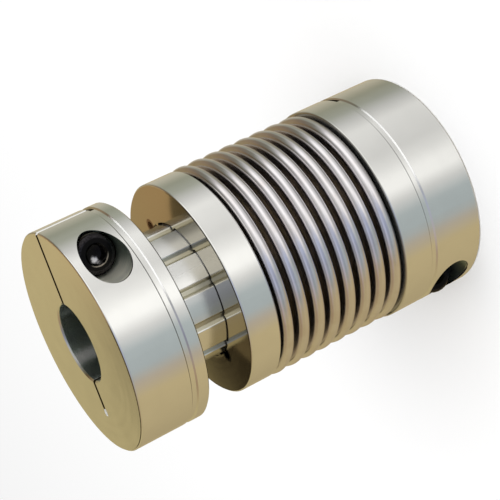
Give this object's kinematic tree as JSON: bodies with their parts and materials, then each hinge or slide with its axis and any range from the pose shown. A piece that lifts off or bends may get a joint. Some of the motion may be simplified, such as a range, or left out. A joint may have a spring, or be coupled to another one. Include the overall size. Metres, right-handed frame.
{
  "type": "plug-in bellows coupling",
  "caption": "Shaft coupling with clamp hubs and a thin-walled metal bellows, whose splined plug hub slides axially into a socket ring.",
  "frame": {"origin": "centre of the rear hub's end face, on which the coupling stands", "axes": "+Z along the shaft axis from the rear hub to the plug hub; +X the side that both clamp screw heads face; the plug hub's slit opens towards +Y"},
  "size_m": [0.04, 0.04, 0.0695],
  "materials": {
    "aluminium_hub": "fine turned",
    "steel_bellows": "bright drawn",
    "black_screw": "black oxide"
  },
  "bodies": {
    "rear": {"rear_hub": "aluminium_hub", "rear_clamp_screw": "black_screw", "bellows": "steel_bellows"},
    "socket": {"socket_ring": "aluminium_hub"},
    "plug": {"plug_hub": "aluminium_hub", "plug_clamp_screw": "black_screw"}
  },
  "joints": [
    {"name": "bellows_flex", "type": "slide", "parent": "rear", "child": "socket", "axis": [0, 0, 1], "range_m": [-0.001, 0.001], "stiffness_N_per_m": 20000, "deforming": ["bellows"]},
    {"name": "plug_slide", "type": "slide", "parent": "socket", "child": "plug", "axis": [0, 0, 1], "range_m": [-0.0084, 0.007]}
  ]
}
